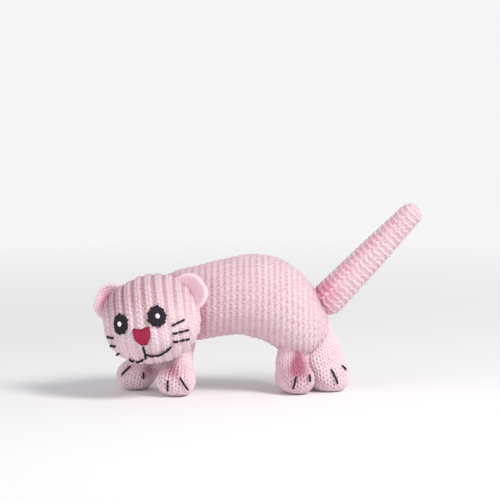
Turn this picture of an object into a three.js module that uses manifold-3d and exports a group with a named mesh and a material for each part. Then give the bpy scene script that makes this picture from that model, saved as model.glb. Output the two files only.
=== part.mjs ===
// A small stuffed cat knitted in pink yarn, standing on four stubby legs with its face turned
// aside and its tail held up. Millimetres, +Z up, the head towards -X and the face towards -Y.
import * as THREE from 'three';
import { mergeVertices } from 'three/addons/utils/BufferGeometryUtils.js';
import Module from 'manifold-3d';

const wasm = await Module();
wasm.setup();

// Fabric and clearances
const coverWall = 1.6;
const seatGap = 0.3;
const soleCut = 0.5;
const cutOverrun = 2;

// Torso: the chest ball, the arched back and the rump, all measured from the chest centre
const torsoReach = 54;
const backHeight = 37.2;
const torsoDepth = 34;
const archRise = 4.7;
const rumpDrop = 11;
const torsoSway = 2;
const chestCapLength = 14.5;
const rumpCapLength = 9;
const spineReachShares = [0, 0.168, 0.39, 0.637, 0.835, 1];
const spineRiseShares = [0, 0.32, 0.87, 1, -0.1, -1];
const spineSwayShares = [1, 0.8, 0.8, 0.8, 0.5, 0];
const torsoHighShares = [0.833, 0.855, 0.887, 1, 0.87, 0.7];
const torsoWideShares = [0.853, 0.912, 0.941, 1, 0.97, 0.88];

// Head: a turned form about its own upright axis, with a muzzle that swells on the face
const headWidth = 41.6;
const headHeight = 38;
const headFullness = 2.3;
const headYaw = -17;
const headRoll = -10;
const headPitch = -7;
const chinGap = 1.8;
const neckReach = 21.6;
const neckShares = [-0.537, -0.833];
const neckRise = 3.1;
const neckHoleRadius = 4;
const muzzleSwell = 1.8;
const muzzleHeight = 8;
const muzzleDropShare = 0.5;
const muzzleSpread = 40;

// Legs and paws
const pawWidth = 16;
const nearHindPawWidth = 15;
const pawHeight = 13.4;
const pawLength = 19;
const toeLength = 7.4;
const heelLength = 5.5;
const ankleRadius = 6.4;
const frontRootRadius = 5.5;
const nearHipRadius = 6.4;
const farHipRadius = 8.2;
const rootOutShare = 0.4;
const rootHoleRadius = 3.2;
const jointGap = 0.4;

// Tail
const tailLength = 50;
const tailRootRadius = 7.2;
const tailMiddleRadius = 6.3;
const tailTipRadius = 4.9;
const tailTilt = 46;
const tailSeatShares = [0.45, 0.24, 0.93];

// Ears
const earSpan = 17.6;
const earReach = 10.4;
const earThickness = 2.4;
const earDepth = 5;
const earLean = 24;
const earSetBack = 0.5;
const earSeatShares = { left: [0.74, 0.47], right: [0.8, 0.39] };
const earFlop = 15;

// Filling
const sachetLength = 30;
const sachetWidth = 18;
const sachetThickness = 9;
const sachetWall = 0.8;
const sachetPinchShare = 0.72;
const channelRadius = 3.4;

// Embroidery
const threadRadius = 0.5;
const eyeWidth = 8;
const eyeHeight = 9.2;
const patchThickness = 0.9;
const eyeGlintDiameter = 1.9;
const noseWidth = 7.6;
const noseHeight = 7.2;
const noseDrop = 7.2;
const noseAngle = 3;
// Places on the face and stops along its threads: degrees round the face, then share of the head's
// height, and on the nose thread share of the way from the nose down to the mouth
const eyeShares = { left: [-19.5, -0.02], right: [24.5, 0.02] };
const mouthDropShare = 0.425;
const noseThreadShares = [[0, 0], [-1, 0.3], [-4, 0.67], [-8, 1]];
const mouthShares = {
  left: [[-12, -0.432], [-22, -0.446], [-33, -0.44], [-40, -0.405]],
  right: [[1.5, -0.385], [6, -0.41], [17, -0.425], [31, -0.4], [40, -0.345]],
};
const whiskerShares = {
  left: [
    [[-38, -0.15], [-47, -0.135], [-57, -0.113]],
    [[-43, -0.24], [-52, -0.235], [-62, -0.225]],
    [[-48, -0.33], [-57, -0.335], [-68, -0.34]],
  ],
  right: [
    [[41, -0.105], [50, -0.08], [60, -0.055]],
    [[41, -0.195], [52, -0.19], [63, -0.187]],
    [[42, -0.285], [53, -0.285], [65, -0.287]],
  ],
};
const yarnRadius = 0.5;
const yarnDepthShare = 0.62;

// Facets
const torsoPoints = 16;
const torsoSpans = 11;
const headPoints = 20;
const limbPoints = 12;
const limbSpans = 2;
const socketPoints = 16;
const stuffingPoints = 10;
const sachetSpans = 4;
const capRings = 3;
const ringPoints = 10;
const threadSides = 5;
const slopeStep = 1;
const cutBlock = 200;

const toRadians = THREE.MathUtils.degToRad;

const looks = {
  pinkKnit: { color: 0xf3c3d0, roughness: 0.95, metalness: 0 },
  filling: { color: 0xf2efe8, roughness: 1, metalness: 0 },
  blackThread: { color: 0x17151a, roughness: 0.8, metalness: 0 },
  redThread: { color: 0xb81f4e, roughness: 0.8, metalness: 0 },
  whiteThread: { color: 0xf4f2ee, roughness: 0.8, metalness: 0 },
  pinkYarn: { color: 0xe79bb0, roughness: 0.95, metalness: 0 },
  gauze: { color: 0xe9e2d2, roughness: 1, metalness: 0 },
  herb: { color: 0x76804a, roughness: 1, metalness: 0 },
};

function addPiece(parent, name, geometry, look) {
  const mesh = new THREE.Mesh(geometry, new THREE.MeshStandardMaterial(look));
  mesh.name = name;
  parent.add(mesh);
  return mesh;
}

// Solids from rings of points

function closedSkin(rings, startPole, endPole) {
  const around = rings[0].length;
  const points = [startPole, ...rings.flat(), endPole];
  const last = points.length - 1;
  const index = [];
  for (let j = 0; j < around; j += 1) {
    const next = (j + 1) % around;
    index.push(0, 1 + next, 1 + j);
    for (let i = 0; i + 1 < rings.length; i += 1) {
      const here = 1 + i * around;
      const there = here + around;
      index.push(here + j, here + next, there + next);
      index.push(here + j, there + next, there + j);
    }
    index.push(last, last - around + j, last - around + next);
  }
  const geometry = new THREE.BufferGeometry().setFromPoints(points);
  geometry.setIndex(index);
  geometry.computeVertexNormals();
  return geometry;
}

function toSolid(geometry) {
  const bare = geometry.clone();
  bare.deleteAttribute('normal');
  bare.deleteAttribute('uv');
  const merged = mergeVertices(bare);
  const vertProperties = new Float32Array(merged.attributes.position.array);
  const triVerts = new Uint32Array(merged.index.array);
  return new wasm.Manifold(new wasm.Mesh({ numProp: 3, vertProperties, triVerts }));
}

function toGeometry(solid) {
  const mesh = solid.getMesh();
  const geometry = new THREE.BufferGeometry();
  geometry.setAttribute('position', new THREE.BufferAttribute(mesh.vertProperties, 3));
  geometry.setIndex(new THREE.BufferAttribute(mesh.triVerts, 1));
  geometry.computeVertexNormals();
  return geometry;
}

function ballAt(centre, radius) {
  const ball = new THREE.SphereGeometry(radius, socketPoints, socketPoints / 2);
  return toSolid(ball.translate(centre.x, centre.y, centre.z));
}

function rodBetween(start, end, radius) {
  const along = end.clone().sub(start);
  const rod = new THREE.CylinderGeometry(radius, radius, along.length(), limbPoints);
  const turn = new THREE.Quaternion().setFromUnitVectors(
    new THREE.Vector3(0, 1, 0),
    along.clone().normalize(),
  );
  const middle = start.clone().add(end).multiplyScalar(0.5);
  return toSolid(rod.applyQuaternion(turn).translate(middle.x, middle.y, middle.z));
}

// A tapering, swelling tube: a spine with an oval section and a domed cap at each end

function sectionAt(form, share) {
  const place = form.curve.getPointAt(share);
  const ahead = form.curve.getTangentAt(share);
  const side = form.side.clone().addScaledVector(ahead, -form.side.dot(ahead)).normalize();
  const rise = ahead.clone().cross(side);
  return { place, ahead, side, rise, wide: form.wide(share), high: form.high(share) };
}

function sectionRing(section, slide, swell, inset, points) {
  const ring = [];
  for (let j = 0; j < points; j += 1) {
    const angle = (j / points) * Math.PI * 2;
    const across = Math.cos(angle) * (section.wide - inset) * swell;
    const up = Math.sin(angle) * (section.high - inset) * swell;
    ring.push(
      section.place
        .clone()
        .addScaledVector(section.ahead, slide)
        .addScaledVector(section.side, across)
        .addScaledVector(section.rise, up),
    );
  }
  return ring;
}

function loft(form, inset, points, spans) {
  const start = sectionAt(form, 0);
  const end = sectionAt(form, 1);
  const startCap = form.startCap - inset;
  const endCap = form.endCap - inset;
  const rings = [];
  for (let i = 1; i <= capRings; i += 1) {
    const angle = (i / capRings) * (Math.PI / 2);
    rings.push(sectionRing(start, -Math.cos(angle) * startCap, Math.sin(angle), inset, points));
  }
  for (let i = 1; i < spans; i += 1) {
    rings.push(sectionRing(sectionAt(form, i / spans), 0, 1, inset, points));
  }
  for (let i = 0; i < capRings; i += 1) {
    const angle = (i / capRings) * (Math.PI / 2);
    rings.push(sectionRing(end, Math.sin(angle) * endCap, Math.cos(angle), inset, points));
  }
  const startPole = start.place.clone().addScaledVector(start.ahead, -startCap);
  const endPole = end.place.clone().addScaledVector(end.ahead, endCap);
  return closedSkin(rings, startPole, endPole);
}

// A smooth run of sizes through evenly spread values
function sizeRun(values) {
  const points = values.map((value, i) => new THREE.Vector3(i / (values.length - 1), value, 0));
  const curve = new THREE.CatmullRomCurve3(points);
  return (share) => curve.getPoint(share).y;
}

// Places that the pieces share

const headCentre = new THREE.Vector3(0, 0, pawHeight - soleCut + chinGap + headHeight / 2);
const chest = headCentre.clone().add(
  new THREE.Vector3(-neckShares[0] * neckReach, -neckShares[1] * neckReach, neckRise),
);

const torsoSpine = spineReachShares.map((reach, i) => {
  const rise = spineRiseShares[i];
  return new THREE.Vector3(
    chest.x + reach * torsoReach,
    chest.y + (spineSwayShares[i] - 1) * torsoSway,
    chest.z + (rise < 0 ? rise * rumpDrop : rise * archRise),
  );
});

const torso = {
  curve: new THREE.CatmullRomCurve3(torsoSpine),
  side: new THREE.Vector3(0, 1, 0),
  wide: sizeRun(torsoWideShares.map((share) => (share * torsoDepth) / 2)),
  high: sizeRun(torsoHighShares.map((share) => (share * backHeight) / 2)),
  startCap: chestCapLength,
  endCap: rumpCapLength,
};

// A joint centre that stands just outside the domed end of the torso, in a given direction
function seatOnCap(share, capLength, directionShares, radius) {
  const section = sectionAt(torso, share);
  const [along, across, up] = directionShares;
  const sign = share > 0 ? 1 : -1;
  const stretch = Math.hypot(along / capLength, across / section.wide, up / section.high);
  const size = Math.hypot(along, across, up);
  const distance = 1 / stretch + (rootOutShare * radius) / size;
  return section.place
    .clone()
    .addScaledVector(section.ahead, sign * along * distance)
    .addScaledVector(section.side, across * distance)
    .addScaledVector(section.rise, up * distance);
}

// Legs: each a shank from its joint at the torso down to the heel of a foot on the ground. Each toe
// stitch runs between two places on the front of the paw, as shares of its half width and height

const legPlans = [
  {
    name: 'front_left',
    end: 0,
    seatShares: [0.5, 0.5, -0.72],
    radius: frontRootRadius,
    pawShares: [-0.357, 0.128],
    pawWidth,
    yaw: -16,
    toeStitches: [[[0.02, 0.66], [-0.44, 0.08]], [[0.67, 0.27], [0.67, -0.1]]],
  },
  {
    name: 'front_right',
    end: 0,
    seatShares: [-0.02, 0.03, -1],
    radius: frontRootRadius,
    pawShares: [-0.022, -0.44],
    pawWidth,
    yaw: -2,
    toeStitches: [[[-0.39, 0.2], [-0.39, -0.48]], [[0.22, 0.37], [0.65, -0.43]]],
  },
  {
    name: 'hind_left',
    end: 1,
    seatShares: [0.42, -0.26, -0.86],
    radius: nearHipRadius,
    pawShares: [0.945, -0.265],
    pawWidth: nearHindPawWidth,
    yaw: 24,
    toeStitches: [[[-0.43, 0.3], [-0.58, -0.46]], [[0.31, 0.38], [0.35, -0.05]]],
  },
  {
    name: 'hind_right',
    end: 1,
    seatShares: [0.95, 0.26, 0.14],
    radius: farHipRadius,
    pawShares: [1.215, 0],
    pawWidth,
    yaw: 24,
    toeStitches: [[[-0.36, 0.57], [-0.05, -0.33]], [[0.27, 0.72], [0.52, 0.45]]],
  },
];

function footForm(paw, toe, width) {
  const half = new THREE.Vector3().addScaledVector(toe, toeLength + heelLength - pawLength);
  return {
    curve: new THREE.LineCurve3(paw.clone().add(half), paw),
    side: new THREE.Vector3(-toe.y, toe.x, 0),
    wide: sizeRun([width / 2 - (toeLength - heelLength) / 2, width / 2]),
    high: sizeRun([pawHeight / 2, pawHeight / 2]),
    startCap: heelLength,
    endCap: toeLength,
  };
}

function shankForm(root, heel, side, radius) {
  return {
    curve: new THREE.LineCurve3(root, heel),
    side,
    wide: sizeRun([radius, ankleRadius]),
    high: sizeRun([radius, ankleRadius]),
    startCap: radius,
    endCap: ankleRadius - soleCut,
  };
}

function legForm(plan) {
  const capLength = plan.end ? rumpCapLength : chestCapLength;
  const root = seatOnCap(plan.end, capLength, plan.seatShares, plan.radius);
  const yaw = toRadians(plan.yaw);
  const toe = new THREE.Vector3(Math.sin(yaw), -Math.cos(yaw), 0);
  const paw = new THREE.Vector3(
    chest.x + plan.pawShares[0] * torsoReach,
    chest.y + plan.pawShares[1] * torsoDepth,
    pawHeight / 2 - soleCut,
  );
  const foot = footForm(paw, toe, plan.pawWidth);
  const shank = shankForm(root, foot.curve.v1, foot.side, plan.radius);
  const inward = sectionAt(torso, plan.end).place.sub(root).normalize();
  const { name, radius, toeStitches } = plan;
  return { name, pivot: root, inward, radius, toeStitches, forms: [shank, foot] };
}

const legs = legPlans.map(legForm);

// Tail: straight, from a ball joint on the upper rump to a blunt tip

function tailForm() {
  const seat = sectionAt(torso, tailSeatShares[2]);
  const lean = toRadians(tailTilt);
  const ahead = new THREE.Vector3(Math.cos(lean), 0, Math.sin(lean));
  const root = seat.place
    .clone()
    .addScaledVector(seat.side, tailSeatShares[1] * seat.wide)
    .addScaledVector(seat.rise, seat.high)
    .addScaledVector(ahead, tailSeatShares[0] * tailRootRadius);
  const form = {
    curve: new THREE.LineCurve3(root, root.clone().addScaledVector(ahead, tailLength)),
    side: new THREE.Vector3(0, 1, 0),
    wide: sizeRun([tailRootRadius, tailMiddleRadius, tailTipRadius]),
    high: sizeRun([tailRootRadius, tailMiddleRadius, tailTipRadius]),
    startCap: tailRootRadius,
    endCap: tailTipRadius,
  };
  return { name: 'tail', pivot: root, inward: ahead.negate(), radius: tailRootRadius, forms: [form] };
}

const tail = tailForm();

// Head: its own frame has X to the side of the face, -Y out of the face and Z up

const headTurn = new THREE.Euler(
  toRadians(headPitch),
  toRadians(headRoll),
  toRadians(headYaw),
  'YZX',
);
const headFrame = new THREE.Matrix4()
  .makeRotationFromEuler(headTurn)
  .setPosition(headCentre);

function headPoint(azimuth, latitude, inset, swell) {
  const power = 2 / headFullness;
  const level = Math.sign(Math.sin(latitude)) * Math.abs(Math.sin(latitude)) ** power;
  const height = (headHeight / 2 - inset) * level;
  const base = (headWidth / 2 - inset) * Math.abs(Math.cos(latitude)) ** power;
  const offMuzzle = (height + (muzzleDropShare * headHeight) / 2) / muzzleHeight;
  const offFace = azimuth / toRadians(muzzleSpread);
  const radius = base + swell * Math.exp(-offMuzzle * offMuzzle - offFace * offFace) * Math.cos(latitude);
  return new THREE.Vector3(Math.sin(azimuth) * radius, -Math.cos(azimuth) * radius, height);
}

function headSkin(inset, swell, points) {
  const rings = [];
  const levels = points / 2;
  for (let i = 1; i < levels; i += 1) {
    const latitude = (i / levels - 0.5) * Math.PI;
    const ring = [];
    for (let j = 0; j < points; j += 1) {
      const turn = (j / points) * Math.PI * 2;
      ring.push(headPoint(turn > Math.PI ? turn - Math.PI * 2 : turn, latitude, inset, swell));
    }
    rings.push(ring);
  }
  const reach = headHeight / 2 - inset;
  return closedSkin(rings, new THREE.Vector3(0, 0, -reach), new THREE.Vector3(0, 0, reach));
}

// A place on the face, from its angle to the side and its height, with the way out of the surface
function facePlace(azimuth, height) {
  const level = Math.min(Math.abs(height) / (headHeight / 2), 1);
  const latitude = Math.sign(height) * Math.asin(level ** (headFullness / 2));
  const step = toRadians(slopeStep);
  const place = headPoint(azimuth, latitude, 0, muzzleSwell);
  const beside = headPoint(azimuth + step, latitude, 0, muzzleSwell).sub(place);
  const above = headPoint(azimuth, latitude + step, 0, muzzleSwell).sub(place);
  return { place, out: beside.cross(above).normalize() };
}

const neckAxis = chest.clone().sub(headCentre).normalize();

function neckHole() {
  const far = neckAxis.clone().multiplyScalar(headWidth / 2 + coverWall * 2 + cutOverrun);
  const near = neckAxis.clone().multiplyScalar(headWidth / 2 - coverWall * 2 - cutOverrun);
  return rodBetween(headCentre.clone().add(near), headCentre.clone().add(far), neckHoleRadius);
}

// Torso pieces

const sachetMiddle = torso.curve.getPointAt(0.5);

function hollows(inset) {
  const cuts = [toSolid(headSkin(-inset, 0, headPoints).applyMatrix4(headFrame))];
  for (const limb of [...legs, tail]) {
    cuts.push(ballAt(limb.pivot, limb.radius + inset - seatGap + jointGap));
  }
  return cuts.reduce((sum, cut) => sum.add(cut));
}

function torsoCover() {
  const outer = toSolid(loft(torso, 0, torsoPoints, torsoSpans)).subtract(hollows(seatGap));
  const inner = toSolid(loft(torso, coverWall, torsoPoints, torsoSpans));
  return outer
    .subtract(inner.subtract(hollows(seatGap + coverWall)))
    .subtract(neckHole());
}

function torsoStuffing() {
  const inset = coverWall + seatGap;
  const mouth = headCentre.clone().addScaledVector(neckAxis, headWidth / 2);
  return toSolid(loft(torso, inset, torsoPoints, torsoSpans))
    .subtract(hollows(seatGap + inset))
    .subtract(toSolid(sachetSkin(-seatGap)))
    .subtract(rodBetween(mouth, sachetMiddle, channelRadius));
}

// Catnip sachet: a pillow whose ends are pinched flatter than its middle
function sachetForm() {
  const half = sachetLength / 2 - sachetThickness / 2;
  const way = torso.curve.getTangentAt(0.5);
  const start = sachetMiddle.clone().addScaledVector(way, -half);
  const end = sachetMiddle.clone().addScaledVector(way, half);
  const thin = (sachetPinchShare * sachetThickness) / 2;
  return {
    curve: new THREE.LineCurve3(start, end),
    side: new THREE.Vector3(0, 1, 0),
    wide: () => sachetWidth / 2,
    high: sizeRun([thin, sachetThickness / 2, thin]),
    startCap: sachetThickness / 2,
    endCap: sachetThickness / 2,
  };
}

function sachetSkin(inset) {
  return loft(sachetForm(), inset, stuffingPoints, sachetSpans);
}

function sachetCover() {
  const form = sachetForm();
  const mouth = form.curve.getPointAt(0);
  const way = form.curve.getTangentAt(0);
  const far = mouth.clone().addScaledVector(way, -sachetThickness);
  return toSolid(sachetSkin(0))
    .subtract(toSolid(sachetSkin(sachetWall)))
    .subtract(rodBetween(far, mouth, sachetThickness / 4));
}

// Legs and tail: a knitted cover, the stuffing in it and the yarn that gathers its open end

function limbSole(solid) {
  const below = new THREE.BoxGeometry(cutBlock, cutBlock, cutBlock);
  return solid.subtract(toSolid(below.translate(0, 0, -cutBlock / 2)));
}

function limbSkin(limb, inset, points) {
  const skins = limb.forms.map((form) => toSolid(loft(form, inset, points, limbSpans)));
  return skins.reduce((sum, skin) => sum.add(skin));
}

function limbCover(limb) {
  const tip = limb.pivot.clone().addScaledVector(limb.inward, limb.radius + cutOverrun);
  const hole = rodBetween(tip, limb.pivot, rootHoleRadius);
  return limbSole(limbSkin(limb, 0, limbPoints))
    .subtract(limbSkin(limb, coverWall, limbPoints))
    .subtract(hole);
}

function limbStuffing(limb) {
  return limbSkin(limb, coverWall + seatGap, stuffingPoints);
}

function gatherRing(centre, way, distance, holeRadius) {
  const turnRadius = holeRadius - seatGap - yarnRadius;
  const ring = new THREE.TorusGeometry(turnRadius, yarnRadius, threadSides, ringPoints);
  const turn = new THREE.Quaternion().setFromUnitVectors(new THREE.Vector3(0, 0, 1), way);
  const place = centre.clone().addScaledVector(way, distance);
  return ring.applyQuaternion(turn).translate(place.x, place.y, place.z);
}

function addLimb(parent, limb) {
  addPiece(parent, `${limb.name}_cover`, toGeometry(limbCover(limb)), looks.pinkKnit);
  addPiece(parent, `${limb.name}_stuffing`, toGeometry(limbStuffing(limb)), looks.filling);
  const seat = Math.sqrt(limb.radius ** 2 - rootHoleRadius ** 2) - coverWall / 2;
  const ring = gatherRing(limb.pivot, limb.inward, seat, rootHoleRadius);
  addPiece(parent, `${limb.name}_gathering_yarn`, ring, looks.pinkYarn);
}

// Threads laid on a surface

function thread(points, radius) {
  const section = new THREE.Shape();
  for (let j = 0; j < threadSides; j += 1) {
    const angle = (j / threadSides) * Math.PI * 2;
    const step = j === 0 ? 'moveTo' : 'lineTo';
    section[step](Math.cos(angle) * radius, Math.sin(angle) * radius);
  }
  section.closePath();
  const curve = new THREE.CatmullRomCurve3(points);
  const steps = (points.length - 1) * 2;
  return new THREE.ExtrudeGeometry(section, { steps, extrudePath: curve, bevelEnabled: false });
}

function lifted({ place, out }, height) {
  return place.clone().addScaledVector(out, height);
}

const threadLift = seatGap + threadRadius;

function faceThread(stops) {
  const points = stops.map(([angle, height]) => {
    return lifted(facePlace(toRadians(angle), height * headHeight), threadLift);
  });
  return thread(points, threadRadius);
}

// The thread down from the nose starts clear of the nose and ends at the mouth
function noseThread() {
  const top = (noseDrop + noseHeight / 2 + threadLift) / headHeight;
  const stops = noseThreadShares.map(([angle, way]) => [angle, -top - (mouthDropShare - top) * way]);
  return faceThread(stops);
}

// An embroidered patch: a shallow dome over an outline on the face
function facePatch(azimuth, height, outline, lift, thickness) {
  const centreRadius = headWidth / 2;
  const at = (x, z, rise) => {
    return lifted(facePlace(azimuth + x / centreRadius, height + z), lift + rise);
  };
  const inner = outline.map(([x, z]) => [x / 2, z / 2]);
  const rings = [
    inner.map(([x, z]) => at(x, z, 0)),
    outline.map(([x, z]) => at(x, z, 0)),
    outline.map(([x, z]) => at(x, z, thickness / 2)),
    inner.map(([x, z]) => at(x, z, thickness)),
  ];
  return closedSkin(rings, at(0, 0, 0), at(0, 0, thickness));
}

function ovalOutline(width, height, points) {
  return Array.from({ length: points }, (_, j) => {
    const angle = (j / points) * Math.PI * 2;
    return [(Math.cos(angle) * width) / 2, (Math.sin(angle) * height) / 2];
  });
}

// Nose: broad and flat above, drawn in to a point below
function noseOutline() {
  const shares = [
    [1, 0.35], [0.8, 0.85], [0.3, 1], [-0.3, 1], [-0.8, 0.85], [-1, 0.35],
    [-0.75, -0.3], [-0.3, -0.85], [0, -1], [0.3, -0.85], [0.75, -0.3],
  ];
  return shares.map(([x, z]) => [(x * noseWidth) / 2, (z * noseHeight) / 2]);
}

// Ears: cupped shells that stand out from the corners of the head, cut to sit on it

function earPlace(side) {
  const [across, up] = earSeatShares[side];
  const seat = new THREE.Vector3((across * headWidth) / 2, -earSetBack, (up * headHeight) / 2);
  const lean = toRadians(earLean);
  const along = new THREE.Vector3(Math.sin(lean), 0, -Math.cos(lean));
  return { seat, along };
}

function earDome(inset, setForward, seat) {
  const dome = new THREE.SphereGeometry(1, socketPoints, socketPoints / 2);
  dome.scale(earReach - inset, earDepth - inset / 2, earSpan / 2 - inset);
  dome.rotateY(-toRadians(earLean));
  return toSolid(dome.translate(seat.x, seat.y - setForward, seat.z));
}

// The head as the ear sees it while the ear flops to either side
function headBeside(seat, along) {
  const turns = [-earFlop, 0, earFlop].map((angle) => {
    const skin = headSkin(-seatGap, 0, headPoints);
    const turn = new THREE.Quaternion().setFromAxisAngle(along, toRadians(angle));
    skin.translate(-seat.x, -seat.y, -seat.z).applyQuaternion(turn);
    return toSolid(skin.translate(seat.x, seat.y, seat.z));
  });
  return turns.reduce((sum, turn) => sum.add(turn));
}

function earShell(side) {
  const { seat, along } = earPlace(side);
  const shell = earDome(0, 0, seat)
    .subtract(earDome(earThickness, earThickness, seat))
    .subtract(headBeside(seat, along));
  return toGeometry(side === 'left' ? shell.mirror([1, 0, 0]) : shell);
}

// Toe stitches: two short threads on the rounded front of each paw
function toeStitch(leg, [top, foot]) {
  const front = sectionAt(leg.forms[1], 1);
  const points = [0, 0.5, 1].map((share) => {
    const across = THREE.MathUtils.lerp(top[0], foot[0], share);
    const up = THREE.MathUtils.lerp(top[1], foot[1], share);
    const out = Math.sqrt(1 - across * across - up * up);
    const place = front.place
      .clone()
      .addScaledVector(front.side, across * front.wide)
      .addScaledVector(front.rise, up * front.high)
      .addScaledVector(front.ahead, out * toeLength);
    const away = new THREE.Vector3()
      .addScaledVector(front.side, across / front.wide)
      .addScaledVector(front.rise, up / front.high)
      .addScaledVector(front.ahead, out / toeLength)
      .normalize();
    return place.addScaledVector(away, threadLift);
  });
  return thread(points, threadRadius);
}

// How far the head reaches along the neck
function neckSurface() {
  const local = neckAxis.clone().applyMatrix4(new THREE.Matrix4().extractRotation(headFrame).invert());
  const level = Math.hypot(local.x, local.y) / (headWidth / 2);
  const rise = Math.abs(local.z) / (headHeight / 2);
  return (level ** headFullness + rise ** headFullness) ** (-1 / headFullness);
}

function headCover() {
  const outer = toSolid(headSkin(0, muzzleSwell, headPoints));
  const inner = toSolid(headSkin(coverWall, muzzleSwell, headPoints));
  const hole = toGeometry(neckHole()).applyMatrix4(headFrame.clone().invert());
  return outer.subtract(inner).subtract(toSolid(hole));
}

// Assembly

function addTorso(parent) {
  addPiece(parent, 'torso_cover', toGeometry(torsoCover()), looks.pinkKnit);
  addPiece(parent, 'torso_stuffing', toGeometry(torsoStuffing()), looks.filling);
  addPiece(parent, 'catnip_sachet', toGeometry(sachetCover()), looks.gauze);
  addPiece(parent, 'dried_catnip', sachetSkin(sachetWall + seatGap), looks.herb);
  const seat = neckSurface() + seatGap + coverWall * (1 - yarnDepthShare);
  const ring = gatherRing(headCentre, neckAxis, seat, neckHoleRadius);
  addPiece(parent, 'torso_gathering_yarn', ring, looks.pinkYarn);
  const headSeat = neckSurface() - coverWall * yarnDepthShare;
  const headRing = gatherRing(headCentre, neckAxis, headSeat, neckHoleRadius);
  addPiece(parent, 'head_gathering_yarn', headRing, looks.pinkYarn);
}

function addFace(parent) {
  for (const side of ['left', 'right']) {
    const angle = toRadians(eyeShares[side][0]);
    const height = eyeShares[side][1] * headHeight;
    const eye = ovalOutline(eyeWidth, eyeHeight, limbPoints);
    const glint = ovalOutline(eyeGlintDiameter, eyeGlintDiameter, limbPoints / 2);
    const glintLift = seatGap * 2 + patchThickness;
    const patch = facePatch(angle, height, eye, seatGap, patchThickness);
    addPiece(parent, `eye_${side}`, patch, looks.blackThread);
    const spot = facePatch(angle, height, glint, glintLift, patchThickness / 2);
    addPiece(parent, `eye_glint_${side}`, spot, looks.whiteThread);
    addPiece(parent, `mouth_thread_${side}`, faceThread(mouthShares[side]), looks.blackThread);
    whiskerShares[side].forEach((stops, i) => {
      addPiece(parent, `whisker_thread_${side}_${i + 1}`, faceThread(stops), looks.blackThread);
    });
    addPiece(parent, `ear_${side}`, earShell(side), looks.pinkKnit);
  }
  const nose = facePatch(toRadians(noseAngle), -noseDrop, noseOutline(), seatGap, patchThickness);
  addPiece(parent, 'nose', nose, looks.redThread);
  addPiece(parent, 'nose_thread', noseThread(), looks.blackThread);
}

function addHead(parent) {
  const head = new THREE.Group();
  head.position.copy(headCentre);
  head.rotation.copy(headTurn);
  addPiece(head, 'head_cover', toGeometry(headCover()), looks.pinkKnit);
  const inset = coverWall + seatGap;
  addPiece(head, 'head_stuffing', headSkin(inset, muzzleSwell, stuffingPoints), looks.filling);
  addFace(head);
  parent.add(head);
}

function addLegs(parent) {
  for (const leg of legs) {
    addLimb(parent, leg);
    leg.toeStitches.forEach((ends, i) => {
      addPiece(parent, `${leg.name}_toe_stitch_${i + 1}`, toeStitch(leg, ends), looks.blackThread);
    });
  }
}

// The origin is the middle of the ground that the whole cat covers
function buildCat() {
  const cat = new THREE.Group();
  addTorso(cat);
  addHead(cat);
  addLegs(cat);
  addLimb(cat, tail);
  cat.updateMatrixWorld(true);
  const box = new THREE.Box3().setFromObject(cat, true);
  const middle = box.getCenter(new THREE.Vector3());
  cat.position.set(-middle.x, -middle.y, -box.min.z);
  const stand = new THREE.Group();
  stand.add(cat);
  return stand;
}

const stand = buildCat();

export default stand;
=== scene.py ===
"""A small stuffed cat knitted in pink yarn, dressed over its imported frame."""
import math

import bpy
import numpy as np
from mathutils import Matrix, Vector
from mathutils.bvhtree import BVHTree


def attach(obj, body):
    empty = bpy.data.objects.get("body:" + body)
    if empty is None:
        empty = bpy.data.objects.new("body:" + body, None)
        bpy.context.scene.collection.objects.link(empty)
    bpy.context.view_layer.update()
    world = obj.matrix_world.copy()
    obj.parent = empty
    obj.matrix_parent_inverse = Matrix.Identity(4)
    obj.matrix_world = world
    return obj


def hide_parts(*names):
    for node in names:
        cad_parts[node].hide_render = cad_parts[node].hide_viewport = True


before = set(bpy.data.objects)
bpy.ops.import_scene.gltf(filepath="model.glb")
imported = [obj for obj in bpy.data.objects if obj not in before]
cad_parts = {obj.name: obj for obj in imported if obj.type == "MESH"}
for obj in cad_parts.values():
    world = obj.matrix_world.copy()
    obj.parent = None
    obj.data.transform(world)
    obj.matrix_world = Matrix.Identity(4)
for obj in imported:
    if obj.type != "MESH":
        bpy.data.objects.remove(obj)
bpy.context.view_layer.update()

MM = 0.001
TURN = 2 * math.pi

# The forms of the solids, in millimetres
CHEST = np.array([-33.531, 12.247, 36.8])
HEAD = np.array([-45.131, -5.746, 33.7])
REACH, DEPTH, HEIGHT = 54, 34, 37.2
ARCH, DROP, SWAY = 4.7, 11, 2
SPINE = [(0, 0, 1), (0.168, 0.32, 0.8), (0.39, 0.87, 0.8), (0.637, 1, 0.8), (0.835, -0.1, 0.5), (1, -1, 0)]
HIGHS = (0.833, 0.855, 0.887, 1, 0.87, 0.7)
WIDES = (0.853, 0.912, 0.941, 1, 0.97, 0.88)
CHEST_CAP, RUMP_CAP = 14.5, 9
HEAD_WIDE, HEAD_HIGH, HEAD_FULL = 41.6, 38, 2.3
HEAD_PITCH, HEAD_ROLL, HEAD_YAW = -7, -10, -17
MUZZLE, MUZZLE_HIGH, MUZZLE_SPREAD = 1.8, 8, 40
POLE_BACK = 15
FLAT_WAY, FLAT_SPREAD, FLAT_DEPTH = (-0.62, 0.1, 0.78), 0.07, 1.6
FOOT_RUN, FOOT_HEEL, FOOT_TOE, FOOT_HIGH = 6.1, 5.5, 7.4, 6.7
HEEL_NARROWER, ANKLE, PAW_UP = 0.95, 6.4, 6.2
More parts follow.
